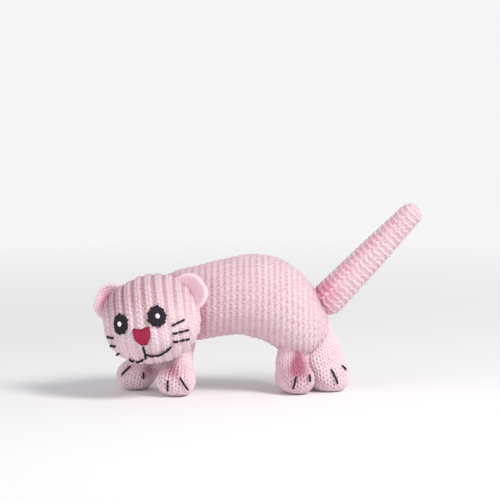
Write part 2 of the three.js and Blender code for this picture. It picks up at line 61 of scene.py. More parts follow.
LEGS = {
    "front_left": dict(
        root=(-39.552, 21.121, 23.376), radius=5.5, paw=(-0.357, 0.128), wide=8, yaw=-16,
        stitches=(((0.02, 0.66), (-0.44, 0.08)), ((0.67, 0.27), (0.67, -0.1))),
    ),
    "front_right": dict(
        root=(-32.6, 12.761, 19.419), radius=5.3, paw=(-0.022, -0.44), wide=8.5, yaw=-2,
        stitches=(((-0.367, 0.2), (-0.367, -0.48)), ((0.207, 0.37), (0.61, -0.43))),
    ),
    "hind_left": dict(
        root=(15.009, 5.982, 13.006), radius=6.4, paw=(0.945, -0.265), wide=7.5, yaw=24,
        stitches=(((-0.47, 0.3), (-0.6, -0.46)), ((0.28, 0.38), (0.3, -0.05))),
    ),
    "hind_right": dict(
        root=(28.6, 12.617, 17.926), radius=7.2, paw=(1.215, 0), wide=8, yaw=24,
        stitches=(((-0.36, 0.57), (-0.05, -0.33)), ((0.27, 0.72), (0.52, 0.45))),
    ),
}
# Where each leg rises into the body, how wide it is there, and how softly it runs into its paw
HIPS = {
    "front_left": ((-38.5, 20.0, 26.0), 5.6, 3.2),
    "front_right": ((-31.8, 13.0, 22.0), 5.4, 4.2),
    "hind_left": ((16.2, 7.5, 18.0), 7.0, 3.2),
    "hind_right": ((25.4, 12.3, 26.0), 6.6, 7.0),
}
# The drawn-in pleat over each paw: its middle (x, z), half width, half height and depth
PLEATS = {
    "front_left": (-46.3, 9.2, 2.0, 3.4, 0.6),
    "front_right": (-36.1, 10.6, 2.3, 3.8, 0.8),
    "hind_left": (17.4, 11.8, 3.2, 6.8, 1.5),
}
# The folds of spare knitting between the legs: their middles and radii
FOLDS = {"front_left": ((-42.2, 19.5, 11.5), 4.6), "hind_right": ((24.6, 9.6, 14.0), 4.3)}
# How much the stitches of a leg stand out, and how much painted shade makes its yarn rosier
LEG_LOOKS = {
    "front_left": (0.8, 0.0), "front_right": (0.9, 0.0), "hind_left": (0.8, 0.22), "hind_right": (0.4, 0.06),
}
TAIL_ROOT = np.array([31.189, 14.289, 40.029])
TAIL_LONG, TAIL_RADII, TAIL_TILT = 50, (7.2, 6.3, 4.9), 46
EAR_REACH, EAR_HALF, EAR_LEAN, EAR_SQUARE = 9.9, 8.4, 24, 2.7
# How far across and up each ear sits, and how much painted shade deepens the rose inside its cup
EARS = {"left": (0.69, 0.42, 1), "right": (0.8, 0.42, 0.28)}

# The knitting of each piece: the pitch of its courses, the stitches round it, the yarn's radius and more
# that ring_knit tells
KNITS = {
    "torso": dict(pitch=2.8, count=26, radius=1.2, relief=0.18, ends=(1.2, 2.8), weave=0.5, loop=1),
    "head": dict(pitch=2.3, count=54, radius=0.95, relief=0.12, ends=(1.2, 1.2), weave=0.3, loop=1),
    "leg": dict(pitch=1.95, count=20, radius=0.6, ends=(1, 1), weave=0.82, loop=1.5, sides=5, per=12),
    "tail": dict(pitch=1.3, count=12, radius=0.78, relief=0.04, ends=(0.9, 0.9), weave=0.16, loop=0.3),
}
LEG_RELIEF, LEG_VALLEY = 0.3, 0.45
# How deep each closed form lies under the surface
INSETS = {"torso": 0.95, "head": 0.62, "leg": 1.0, "tail": 0.3}

# How far the yarn stands out from the solids
OUTER = 0.3


def unit(v):
    return v / np.maximum(np.linalg.norm(v, axis=-1, keepdims=True), 1e-12)


def limit(value):
    """The value, held between 0 and 1."""
    return np.clip(value, 0, 1)


def wave(seed, x):
    """A slow, repeatable wobble between -1 and 1."""
    return (np.sin(x + seed * 1.7) + np.sin(x * 2.3 + seed * 4.1) * 0.6 + np.sin(x * 4.9 + seed) * 0.3) / 1.9


def distance_along(points):
    """How far each point lies along its line."""
    return np.concatenate([[0], np.cumsum(np.linalg.norm(np.diff(points, axis=0), axis=1))])


def ring_angles(count):
    return np.arange(count) / count * TURN


def quad_faces(rows, columns, closed=False):
    """The faces of a grid whose columns run round. closed joins its last row to its first."""
    i, j = np.arange(rows if closed else rows - 1)[:, None], np.arange(columns)[None]
    i2, j2 = (i + 1) % rows, (j + 1) % columns
    corners = i * columns + j, i * columns + j2, i2 * columns + j2, i2 * columns + j
    return np.stack(corners, -1).reshape(-1, 4)


def run_through(points, share):
    """The centripetal curve through the points, at shares of its spans."""
    p = np.asarray(points, float)
    at = limit(np.asarray(share, float)) * (len(p) - 1)
    i = np.minimum(at.astype(int), len(p) - 2)
    w = (at - i)[..., None]
    wide = np.vstack([2 * p[0] - p[1], p, 2 * p[-1] - p[-2]])
    a, b, c, d = (wide[i + k] for k in range(4))
    ab, bc, cd = (np.sqrt(np.linalg.norm(v, axis=-1, keepdims=True)) for v in (b - a, c - b, d - c))
    start = ((b - a) / ab - (c - a) / (ab + bc) + (c - b) / bc) * bc
    end = ((c - b) / bc - (d - b) / (bc + cd) + (d - c) / cd) * bc
    return b + start * w + (-3 * b + 3 * c - 2 * start - end) * w**2 + (2 * b - 2 * c + start + end) * w**3


def size_run(values, share):
    points = [(i / (len(values) - 1), v, 0) for i, v in enumerate(values)]
    return run_through(points, share)[..., 1]


class Skin:
    """A closed surface as a grid: rows run from pole to pole, columns round it."""

    def __init__(self, grid):
        self.grid = grid
        self.rows, self.columns = grid.shape[:2]
        around = np.roll(grid, -1, 1) - np.roll(grid, 1, 1)
        along = np.gradient(grid, axis=0)
        normal = np.cross(around, along)
        normal[0] = normal[1].mean(0)
        normal[-1] = normal[-2].mean(0)
        self.normal = unit(normal)
        steps = np.linalg.norm(np.diff(grid, axis=0), axis=2).mean(1)
        self.run = np.concatenate([[0], np.cumsum(steps)])
        self.long = self.run[-1]
        loops = np.linalg.norm(np.roll(grid, -1, 1) - grid, axis=2).sum(1)
        self.girth = np.maximum(loops, 1e-6)

    def at(self, s, turn, lift=0.0):
        """Points and normals at run s (mm from the first pole) and turn (radians round)."""
        s, turn = np.broadcast_arrays(np.asarray(s, float), np.asarray(turn, float))
        row = np.interp(s, self.run, np.arange(self.rows))
        i = np.minimum(row.astype(int), self.rows - 2)
        u = (row - i)[..., None]
        column = (turn / TURN * self.columns) % self.columns
        j = column.astype(int) % self.columns
        v = (column - column.astype(int))[..., None]
        k = (j + 1) % self.columns

        def mix(g):
            one, other = (g[i, side] * (1 - u) + g[i + 1, side] * u for side in (j, k))
            return one * (1 - v) + other * v

        normal = unit(mix(self.normal))
        return mix(self.grid) + normal * np.asarray(lift, float)[..., None], normal


# Forms

def tube_skin(place, ahead, side, wide, high, caps, rows=(24, 150, 24), columns=120):
    """A spine with an oval section and a domed cap at each end. place and ahead are read by share."""
    share = np.concatenate([np.zeros(rows[0]), np.linspace(0, 1, rows[1]), np.ones(rows[2])])
    start = np.linspace(0, 1, rows[0], endpoint=False) * math.pi / 2
    end = np.linspace(0, 1, rows[2] + 1)[1:] * math.pi / 2
    slide = np.concatenate([-np.cos(start) * caps[0], np.zeros(rows[1]), np.sin(end) * caps[1]])
    swell = np.maximum(np.concatenate([np.sin(start), np.ones(rows[1]), np.cos(end)]), 1e-4)
    centre, way = place(share), unit(ahead(share))
    across = unit(side - way * (way @ side)[:, None])
    rise = np.cross(way, across)
    turn = ring_angles(columns)
    w, h = wide(share) * swell, high(share) * swell
    grid = (
        (centre + way * slide[:, None])[:, None]
        + across[:, None] * (np.cos(turn)[None] * w[:, None])[..., None]
        + rise[:, None] * (np.sin(turn)[None] * h[:, None])[..., None]
    )
    return Skin(grid)


def torso_skin():
    spine = [
        CHEST + (reach * REACH, (sway - 1) * SWAY, rise * (DROP if rise < 0 else ARCH))
        for reach, rise, sway in SPINE
    ]
    fine, width, passes = 801, 110, 160
    points = run_through(spine, np.linspace(0, 1, fine))
    run = distance_along(points)
    slope = unit(np.gradient(points, axis=0))
    kernel = np.hanning(2 * width + 1)
    kernel /= kernel.sum()
    padded = np.concatenate([np.tile(slope[0], (width, 1)), slope, np.tile(slope[-1], (width, 1))])
    slope = np.stack([np.convolve(padded[:, k], kernel, "valid") for k in range(3)], -1)

    def pick(values, share):
        return np.stack([np.interp(share, run / run[-1], values[:, k]) for k in range(3)], -1)

    skin = tube_skin(
        lambda share: pick(points, share),
        lambda share: pick(slope, share),
        np.array([0.0, 1, 0]),
        lambda share: size_run(WIDES, share) * DEPTH / 2,
        lambda share: size_run(HIGHS, share) * HEIGHT / 2,
        (CHEST_CAP, RUMP_CAP),
    )
    # its rings crowd on the inside of the bend, so they are spread evenly there
    grid = skin.grid
    for _ in range(passes):
        grid[12:-12] = (grid[11:-13] + 2 * grid[12:-12] + grid[13:-11]) / 4
    return Skin(grid)


def upright_slices(skin, rows=190, columns=120):
    """The same surface, with its rings in upright planes from one end to the other."""
    window, end, outside = 0.8, 4, 60
    flat = skin.grid.reshape(-1, 3)
    tree = BVHTree.FromPolygons(flat.tolist(), quad_faces(skin.rows, skin.columns).tolist())
    low, high = flat[:, 0].min(), flat[:, 0].max()
    turn = ring_angles(columns)
    grid = np.zeros((rows, columns, 3))
    for row in range(rows):
        x = (low + high) / 2 - (high - low) / 2 * math.cos((row + 0.15) / (rows - 0.7) * math.pi)
        # close to an end only the points beyond the slice show where its middle is
        near = flat[np.abs(flat[:, 0] - x) < window]
        if high - x < end:
            near = flat[flat[:, 0] >= x]
        if x - low < end:
            near = flat[flat[:, 0] <= x]
        centre = (near.min(0) + near.max(0)) / 2 * (0, 1, 1) + (x, 0, 0)
        for column, angle in enumerate(turn):
            way = np.array([0, math.cos(angle), math.sin(angle)])
            hit = tree.ray_cast(tuple(centre + way * outside), tuple(-way))[0]
            grid[row, column] = hit if hit is not None else centre
    return Skin(grid)


TAIL_LEAN = math.radians(TAIL_TILT)
TAIL_WAY = np.array([math.cos(TAIL_LEAN), 0, math.sin(TAIL_LEAN)])


def tail_skin():
    return tube_skin(
        lambda share: TAIL_ROOT + share[:, None] * TAIL_WAY * TAIL_LONG,
        lambda share: np.tile(TAIL_WAY, (len(share), 1)),
        np.array([0.0, 1, 0]),
        lambda share: size_run(TAIL_RADII, share),
        lambda share: size_run(TAIL_RADII, share),
        (TAIL_RADII[0], TAIL_RADII[-1]),
        rows=(16, 90, 16),
        columns=72,
    )


def turn_about(axis, degrees):
    c, s = math.cos(math.radians(degrees)), math.sin(math.radians(degrees))
    i, j = (axis + 1) % 3, (axis + 2) % 3
    m = np.eye(3)
    m[i, i], m[i, j], m[j, i], m[j, j] = c, -s, s, c
    return m


HEAD_TURN = turn_about(1, HEAD_ROLL) @ turn_about(2, HEAD_YAW) @ turn_about(0, HEAD_PITCH)


def head_local(azimuth, latitude):
    azimuth, latitude = np.broadcast_arrays(azimuth, latitude)
    power = 2 / HEAD_FULL
    up, out = np.sin(latitude), np.cos(latitude)
    height = HEAD_HIGH / 2 * np.sign(up) * np.abs(up) ** power
    base = HEAD_WIDE / 2 * np.abs(out) ** power
    off = (height + HEAD_HIGH / 4) / MUZZLE_HIGH
    wrapped = (azimuth + math.pi) % TURN - math.pi
    face = wrapped / math.radians(MUZZLE_SPREAD)
    radius = base + MUZZLE * np.exp(-off * off - face * face) * out
    return np.stack([np.sin(azimuth) * radius, -np.cos(azimuth) * radius, height], -1)


def from_head(points):
    return points @ HEAD_TURN.T + HEAD


def head_skin(rows=150, columns=180):
    """Its poles are at the sides, the right one set back, so its rings run over the crown."""
    polar = np.linspace(0.002, math.pi - 0.002, rows)[:, None]
    turn = ring_angles(columns)[None]
    ring = np.sin(polar)
    x, y, z = np.broadcast_arrays(-np.cos(polar), ring * np.cos(turn), ring * np.sin(turn))
    c, s = math.cos(math.radians(POLE_BACK)), math.sin(math.radians(POLE_BACK))
    x, y = x * c - y * s, x * s + y * c
    level, rise = np.hypot(x, y) / (HEAD_WIDE / 2), np.abs(z) / (HEAD_HIGH / 2)
    size = (level**HEAD_FULL + rise**HEAD_FULL) ** (-1 / HEAD_FULL)
    latitude = np.sign(z) * np.arcsin(limit(rise * size) ** (HEAD_FULL / 2))
    points = from_head(head_local(np.arctan2(x, -y), latitude))
    out = unit(points - HEAD)
    flat = np.exp((out @ unit(np.array(FLAT_WAY)) - 1) / FLAT_SPREAD) * FLAT_DEPTH
    return Skin(points - out * flat[..., None])


def on_face(azimuth, height):
    """A place on the face and the way out of it, from its angle to the side (radians) and its height (mm)."""
    azimuth, height = np.broadcast_arrays(np.asarray(azimuth, float), np.asarray(height, float))
    level = np.minimum(np.abs(height) / (HEAD_HIGH / 2), 1)
    latitude = np.sign(height) * np.arcsin(level ** (HEAD_FULL / 2))
    step = 0.01
    place = head_local(azimuth, latitude)
    beside = head_local(azimuth + step, latitude) - place
    above = head_local(azimuth, latitude + step) - place
    return from_head(place), unit(np.cross(beside, above)) @ HEAD_TURN.T


def leg_parts(leg):
    yaw = math.radians(leg["yaw"])
    toe = np.array([math.sin(yaw), -math.cos(yaw), 0])
    paw = np.array([CHEST[0] + leg["paw"][0] * REACH, CHEST[1] + leg["paw"][1] * DEPTH, PAW_UP])
    return np.array(leg["root"]), paw - toe * FOOT_RUN, paw, toe


def smooth_join(one, other, blend):
    h = limit(0.5 + 0.5 * (other - one) / blend)
    return other * (1 - h) + one * h - blend * h * (1 - h)


def round_cone(p, start, end, start_radius, end_radius):
    line = end - start
    t = limit((p - start) @ line / (line @ line))
    radius = start_radius + (end_radius - start_radius) * t
    return np.linalg.norm(p - start - t[..., None] * line, axis=-1) - radius


def pleat_share(name, points):
    """How deep in the pleat over the paw points lie, from 0 to 1. It is wide below and narrow above."""
    if name not in PLEATS:
        return np.zeros(points.shape[:-1])
    x, z, wide, high, _ = PLEATS[name]
    up = (points[..., 2] - z) / high
    across = (points[..., 0] - x) / (wide * np.clip(1.15 - 0.55 * up, 0.25, 1.6))
    heel, paw = leg_parts(LEGS[name])[1:3]
    front = limit(((heel + paw)[1] / 2 + 2 - points[..., 1]) / 4)
    return np.exp(-across**2 - np.where(up < 0, up * 1.5, up) ** 2) * front


def leg_skin(name, hip, hip_radius, blend, rows=96, columns=96):
    hip_blend, fold_blend, nearest, furthest, step = 2.0, 3.0, 0.5, 22, 0.25
    leg = LEGS[name]
    root, heel, _, toe = leg_parts(leg)
    hip = np.array(hip)
    side = np.array([-toe[1], toe[0], 0])
    radius = leg["radius"]

    def field(p):
        shank = round_cone(p, root, heel, radius, ANKLE)
        haunch = round_cone(p, hip, root, hip_radius, radius)
        q = p - heel
        along = q @ toe
        w = leg["wide"] - HEEL_NARROWER * (1 - limit(along / FOOT_RUN))
        beyond = np.where(along < 0, along / FOOT_HEEL, np.maximum(along - FOOT_RUN, 0) / FOOT_TOE)
        foot = (np.sqrt((q @ side / w) ** 2 + (q[..., 2] / FOOT_HIGH) ** 2 + beyond**2) - 1) * FOOT_HIGH
        whole = smooth_join(smooth_join(foot, shank, blend), haunch, hip_blend)
        if name in FOLDS:
            middle, size = FOLDS[name]
            whole = smooth_join(whole, np.linalg.norm(p - middle, axis=-1) - size, fold_blend)
        return whole

    u = np.linspace(0, 1, rows)
    middle = heel + toe * FOOT_RUN * 0.55
    lean = limit((u - 0.3) / 0.45)
    lean = lean * lean * (3 - 2 * lean)
    top = (root + hip) / 2
    origin = middle + lean[:, None] * (top - middle)
    quarter = math.pi / 2
    rise = (limit(u / 0.42) + limit((u - 0.62) / 0.38) - 1) * quarter
    turn = ring_angles(columns)
    flat = side[None] * np.cos(turn)[:, None] - toe[None] * np.sin(turn)[:, None]
    way = flat[None] * np.cos(rise)[:, None, None] + np.array([0, 0, 1.0]) * np.sin(rise)[:, None, None]
    reach = np.arange(nearest, furthest, step)
    inside = np.stack([field(origin[:, None] + way * r) for r in reach]) < 0
    last = len(reach) - 1 - np.argmax(inside[::-1], axis=0)
    low = reach[np.minimum(last, len(reach) - 2)]
    high = low + step
    for _ in range(6):
        mid = (low + high) / 2
        out = field(origin[:, None] + way * mid[..., None]) > 0
        high = np.where(out, mid, high)
        low = np.where(out, low, mid)
    for _ in range(6):
        low = (np.roll(low, 1, 1) + 2 * low + np.roll(low, -1, 1)) / 4
        low[1:-1] = (low[:-2] + 2 * low[1:-1] + low[2:]) / 4
        low[0], low[-1] = low[1].mean(), low[-2].mean()
    if name in PLEATS:
        low = low - PLEATS[name][4] * pleat_share(name, origin[:, None] + way * low[..., None])
    return Skin(origin[:, None] + way * low[..., None])


# Meshes

def add_object(name, data):
    obj = bpy.data.objects.new(name, data)
    bpy.context.scene.collection.objects.link(obj)
    return obj


def new_mesh(name, points, faces, material, floats=(), uvs=()):
    mesh = bpy.data.meshes.new(name)
    counts, loops = np.array([len(face) for face in faces]), np.concatenate(list(faces))
    mesh.vertices.add(len(points))
    mesh.vertices.foreach_set("co", (np.asarray(points) * MM).astype(np.float32).ravel())
    mesh.loops.add(len(loops))
    mesh.loops.foreach_set("vertex_index", loops.astype(np.int32))
    mesh.polygons.add(len(counts))
    starts = np.concatenate([[0], np.cumsum(counts)[:-1]])
    mesh.polygons.foreach_set("loop_start", starts.astype(np.int32))
    for key, values in floats:
        layer = mesh.attributes.new(key, "FLOAT", "POINT")
        layer.data.foreach_set("value", np.asarray(values, np.float32))
    for key, values in uvs:
        layer = mesh.uv_layers.new(name=key)
        layer.data.foreach_set("uv", np.asarray(values, np.float32).ravel())
    mesh.update(calc_edges=True)
    mesh.validate()
    mesh.polygons.foreach_set("use_smooth", np.ones(len(mesh.polygons), bool))
    mesh.materials.append(material)
    return add_object(name, mesh)


class Strands:
    """Round yarns and threads, gathered into one mesh."""

    def __init__(self, sides):
        self.sides = sides
        self.parts = []

    def add(self, points, normals, radius, level, closed=False, crease=0.0):
        """level is how high each point lies in the fabric, in millimetres. The painted shade of each point
        goes from 0 to 1.
        """
        radius, level, crease = (np.broadcast_to(value, len(points)) for value in (radius, level, crease))
        self.parts.append((points, normals, radius, closed, level, crease))

    def build(self, name, material, floor=-np.inf):
        k = self.sides
        around, ahead = np.arange(k), (np.arange(k) + 1) % k
        cosine, sine = np.cos(ring_angles(k)), np.sin(ring_angles(k))
        points, levels, painted_shades, quads, twist_uv, bake_uv = [], [], [], [], [], []
        runs = [distance_along(part[0]) for part in self.parts]
        longest = max(run[-1] for run in runs) + 1
        tip_reach, tip_room = 0.6, 0.4
        base = 0

        def to_bake(uv, row):
            """Each strand has a band of its own in the baked picture."""
            total = len(self.parts)
            return uv[..., ::-1] / (longest, 1.0) * (0.999, 0.9 / total) + (0.0005, (row + 0.05) / total)

        for row, ((p, normal, radius, closed, level, crease), run) in enumerate(zip(self.parts, runs)):
            n = len(p)
            way = unit(np.roll(p, -1, 0) - np.roll(p, 1, 0) if closed else np.gradient(p, axis=0))
            up = unit(normal - way * (normal * way).sum(1, keepdims=True))
            side = np.cross(way, up)
            high, wide = cosine * radius[:, None], sine * radius[:, None]
            ring = p[:, None] + up[:, None] * high[..., None] + side[:, None] * wide[..., None]
            points.append(ring.reshape(-1, 3))
            levels.append((level[:, None] + high).ravel())
            painted_shades.append(np.repeat(crease, k))
            quads.append(quad_faces(n, k, closed) + base)
            full = np.append(run, run[-1] + np.linalg.norm(p[0] - p[-1])) if closed else run
            a, b, j0, j1 = full[:-1, None], full[1:, None], around / k, (around + 1) / k
            corners = [np.stack(np.broadcast_arrays(*uv), -1) for uv in ((j0, a), (j1, a), (j1, b), (j0, b))]
            corners = np.stack(corners, -2).reshape(-1, 4, 2)
            twist_uv.append(corners)
            bake_uv.append(to_bake(corners, row))
            base += n * k
            if closed:
                continue
            for last in (0, 1):
                end = last * (n - 1)
                points.append((p[end] + way[end] * radius[end] * tip_reach * (2 * last - 1))[None])
                levels.append([level[end]])
                painted_shades.append([crease[end]])
                first = base + (end - n) * k
                here, there = (around, ahead) if last else (ahead, around)
                middle = np.full(k, base + last)
                quads.append(np.stack([first + here, first + there, middle, middle], -1))
                uv = np.zeros((k, 4, 2))
                uv[..., 0] = (around[:, None] + (0, 1, 0.5, 0.5)) / k
                uv[..., 1] = full[-1] * last
                twist_uv.append(uv)
                bake_uv.append(to_bake(uv + np.array([[0], [0], [1], [1]]) * (0, tip_room * last), row))
            base += 2
        points = np.concatenate(points)
        points[:, 2] = np.maximum(points[:, 2], floor)
        faces = np.concatenate(quads)
        double = faces[:, 2] == faces[:, 3]

        def ordered(uv):
            uv = np.concatenate(uv)
            return np.concatenate([uv[~double].reshape(-1, 2), uv[double][:, :3].reshape(-1, 2)])

        return new_mesh(
            name, points, [*faces[~double], *faces[double][:, :3]], material,
            floats=(("level", np.concatenate(levels)), ("crease", np.concatenate(painted_shades))),
            uvs=(("OFBake", ordered(bake_uv)), ("Twist", ordered(twist_uv))),
        )


def stitch_level(t, face, relief, valley):
    """How deep the yarn lies along a stitch. A purl face shows the loops' heads, a rib their sides."""
    if face == "purl":
        return relief * (np.cos(2 * t) - 1)
    return -relief * (1 + np.cos(2 * t)) - valley * ((1 + np.cos(t)) / 2) ** 1.2


def ring_knit(skin, painted_shade_at, pitch, count, radius, relief, ends, weave, loop, face="purl", valley=0.0,
              groove=lambda turn: 0, rib=None, sides=6, per=14):
    """Courses that run round a skin, one beside the other. relief and valley are how far the stitches rise
    and fall, weave is how far each course reaches into the next, and loop is how round its stitches are.
    groove gives how deep each stitch lies, and rib how much lower every other course is and the painted shade
    it gets."""
    strands = Strands(sides)
    # where the stitches of a course crowd, it has half as many, and they grow smaller towards the poles
    crowded, spare, room, fewest, thinnest, pole = 0.52, 0.25, 2.2, 7, 0.36, 0.15
    courses = int(round((skin.long - sum(ends)) / pitch))
    widest = skin.girth.max() / count
    for c in range(courses + 1):
        s = ends[0] + (skin.long - sum(ends)) * c / courses
        n = count
        girth = np.interp(s, skin.run, skin.girth)
        while girth / n < crowded * widest and n > fewest:
            n = (n + 1) // 2
        size = min(1, girth / n / widest + spare, girth / (TURN * room * radius))
        t = np.arange(n * per) / per * TURN
        turn = (t + loop * size * np.sin(2 * t)) / n
        wobble = wave(c * 0.7, t / n * 3)
        thick = max(radius * size, thinnest) * (1 + 0.05 * wobble)
        level = stitch_level(t, face, relief * size, valley * size)
        level = OUTER - radius + level + 0.08 * wobble - groove(turn)
        place = np.clip(s - weave * pitch * size * np.cos(t) + 0.12 * wobble, pole, skin.long - pole)
        shade = 0.0
        if rib is not None:
            low, shade = rib(s, turn)
            flat = c % 2
            level, shade = level - low * flat, shade * flat
            thick = thick * (1.12 - 0.21 * flat)
        points, normals = skin.at(place, turn, level)
        crease = np.minimum(painted_shade_at(points) + shade, 1)
        strands.add(points, normals, thick, level, closed=True, crease=crease)
    return strands


def lining(name, skin, inset, floor=-np.inf, rows=72, columns=64):
    """The closed form under the loops. inset may be read by place."""
    pole = 0.012
    s = np.concatenate([[0], np.linspace(pole, 1 - pole, rows), [1]]) * skin.long
    turn = ring_angles(columns)
    deep = inset(s[:, None], turn[None]) if callable(inset) else np.full((rows + 2, columns), inset)
    points, _ = skin.at(s[1:-1, None], turn[None], -deep[1:-1])
    tips, _ = skin.at(s[[0, -1]], np.zeros(2), -deep[[0, -1], 0])
    flat = np.concatenate([points.reshape(-1, 3), tips])
    flat[:, 2] = np.maximum(flat[:, 2], floor)
    faces = [*quad_faces(rows, columns)]
    low, high, top = rows * columns, rows * columns + 1, (rows - 1) * columns
    for a in range(columns):
        b = (a + 1) % columns
        faces += [np.array([low, b, a]), np.array([high, top + a, top + b])]
    return new_mesh(name, flat, faces, under)


# Materials

def srgb(r, g, b):
    """A colour from 0 to 255 a channel, as light."""
    values = (((c / 255 + 0.055) / 1.055) ** 2.4 if c > 10 else c / 255 / 12.92 for c in (r, g, b))
    return (*values, 1)


def shades(*stops):
    return [(at, srgb(*colour)) for at, *colour in stops]


class Nodes:
    def __init__(self, owner):
        """For a new material, by its name, or for the world."""
        self.owner = bpy.data.materials.new(owner) if isinstance(owner, str) else owner
        self.owner.use_nodes = True
        self.tree = self.owner.node_tree
        self.shader = self.tree.nodes.get("Principled BSDF")

    def put(self, node, inputs):
        """Sets a node's inputs, or links them to what they are given."""
        for key, value in inputs.items():
            if isinstance(value, bpy.types.NodeSocket):
                self.tree.links.new(value, node.inputs[key])
            else:
                node.inputs[key].default_value = value

    def new(self, kind, inputs=(), **values):
        node = self.tree.nodes.new(kind)
        for key, value in values.items():
            setattr(node, key, value)
        self.put(node, dict(inputs))
        return node

    def noise(self, vector, scale, detail):
        inputs = {"Vector": vector, "Scale": scale, "Detail": detail}
        return self.new("ShaderNodeTexNoise", inputs).outputs["Fac"]

    def ramp(self, value, stops):
        node = self.new("ShaderNodeValToRGB", {"Fac": value})
        ramp = node.color_ramp
        while len(ramp.elements) < len(stops):
            ramp.elements.new(0.5)
        for element, (place, colour) in zip(ramp.elements, stops):
            element.position = place
            element.color = colour
        return node.outputs["Color"]

    def mix(self, amount, a, b):
        return self.new("ShaderNodeMix", {0: amount, 6: a, 7: b}, data_type="RGBA").outputs[2]

    def span(self, value, low, high, to_low=0.0, to_high=1.0):
        inputs = {"Value": value, "From Min": low, "From Max": high, "To Min": to_low, "To Max": to_high}
        return self.new("ShaderNodeMapRange", inputs).outputs["Result"]

    def maths(self, operation, a, b=0.0):
        return self.new("ShaderNodeMath", {0: a, 1: b}, operation=operation).outputs[0]

    def attribute(self, name):
        return self.new("ShaderNodeAttribute", attribute_name=name).outputs["Fac"]

    def place(self):
        return self.new("ShaderNodeTexCoord").outputs["Object"]

    def bump(self, height, strength, distance):
        node = self.new("ShaderNodeBump", {"Height": height, "Strength": strength, "Distance": distance})
        self.put(self.shader, {"Normal": node.outputs["Normal"]})

    def finish(self, colour, roughness, sheen, tint):
        self.put(self.shader, {
            "Base Color": colour, "Roughness": roughness, "Specular IOR Level": 0.25,
            "Sheen Weight": sheen, "Sheen Roughness": 0.5, "Sheen Tint": tint,
        })
        return self.owner


def yarn_material(name, stops, crease, levels=(-2.2, 0.3), plies=2, twist=1.1, strength=0.5, fuzz=0.35):
    """Plied yarn with painted shade: its colour deepens down in the fabric and along the seams, where shade
    falls.
    """
    n = Nodes(name)
    place = n.place()
    # painted shade: yarn lying deeper in the fabric gets a darker colour
    depth = n.span(n.attribute("level"), *levels)
    cloud = n.noise(place, 160, 3)
    depth = n.maths("ADD", depth, n.span(cloud, 0.3, 0.7, -0.1, 0.1))
    colour = n.ramp(depth, stops)
    fleck = n.noise(place, 1400, 2)
    colour = n.mix(n.span(fleck, 0.35, 0.75, 0.0, 0.3), colour, stops[-1][1])
    # painted shade in creases, seams and recesses, mixed towards the knit's shade colour
    colour = n.mix(n.maths("MULTIPLY", n.attribute("crease"), 0.9), colour, crease)
    unrolled = n.new("ShaderNodeUVMap", uv_map="Twist").outputs["UV"]
    split = n.new("ShaderNodeSeparateXYZ", {0: unrolled}).outputs
    turns = [n.maths("MULTIPLY", split[i], TURN * often) for i, often in enumerate((plies, twist))]
    ply = n.maths("SINE", n.maths("ADD", *turns))
    stretch = n.new("ShaderNodeMapping", {"Vector": unrolled, "Scale": (9, 1.6, 1)})
    fibre = n.noise(stretch.outputs["Vector"], 1.5, 3)
    height = n.maths("ADD", n.maths("MULTIPLY", ply, 0.5), n.maths("MULTIPLY", fibre, 1.2))
    n.bump(height, strength, 0.0003)
    rough = n.span(fibre, 0.3, 0.7, 0.82, 0.98)
    return n.finish(colour, rough, fuzz, stops[-1][1])


def pinks(share):
    """The yarn's colours from deep in the fabric to its top, the deeper ones darker as painted shade, all
    darkened by a share.
    """
    stops = ((0, 228, 170, 188), (0.45, 241, 200, 213), (0.8, 248, 220, 228), (1, 251, 230, 236))
    less = 1 - share
    return shades(*((at, r * (1 - share * 0.8), g * less, b * less) for at, r, g, b in stops))


# Painted shade: each knit's third colour is the one its yarn turns towards in creases, seams and shade
PAINTED_SHADE_PINK = srgb(178, 88, 120)
knit = yarn_material("pink_knit", pinks(0), PAINTED_SHADE_PINK)
head_knit = yarn_material("pink_head_knit", pinks(0.05), srgb(168, 104, 124))
torso_knit = yarn_material("pink_torso_knit", pinks(0.085), PAINTED_SHADE_PINK)
tail_knit = yarn_material("pink_tail_knit", pinks(0.1), srgb(214, 120, 150), strength=0.25)
black = yarn_material(
    "black_thread", shades((0, 14, 11, 15), (1, 46, 40, 48)), srgb(14, 11, 15),
    levels=(0.2, 1.4), twist=0.9, fuzz=0.1,
)
red = yarn_material(
    "red_thread", shades((0, 104, 14, 42), (0.6, 146, 28, 64), (1, 174, 46, 82)), srgb(110, 14, 44),
    levels=(0.2, 1.5), twist=0.9, fuzz=0.15,
)
white = yarn_material(
    "white_thread", shades((0, 214, 212, 214), (1, 248, 247, 246)), srgb(200, 198, 200),
    levels=(1.2, 2.2), fuzz=0.1,
)


def cloth_material(name, low, high, scale, roughness=0.95):
    n = Nodes(name)
    place = n.place()
    patch = n.noise(place, scale, 4)
    colour = n.mix(n.span(patch, 0.3, 0.7), low, high)
    fine = n.noise(place, scale * 12, 3)
    n.bump(n.maths("ADD", patch, fine), 0.5, 0.0004)
    rough = n.span(fine, 0.3, 0.7, roughness - 0.1, min(1.0, roughness + 0.05))
    return n.finish(colour, rough, 0.2, high)


under = cloth_material("pink_under", srgb(236, 196, 208), srgb(243, 208, 218), scale=220)


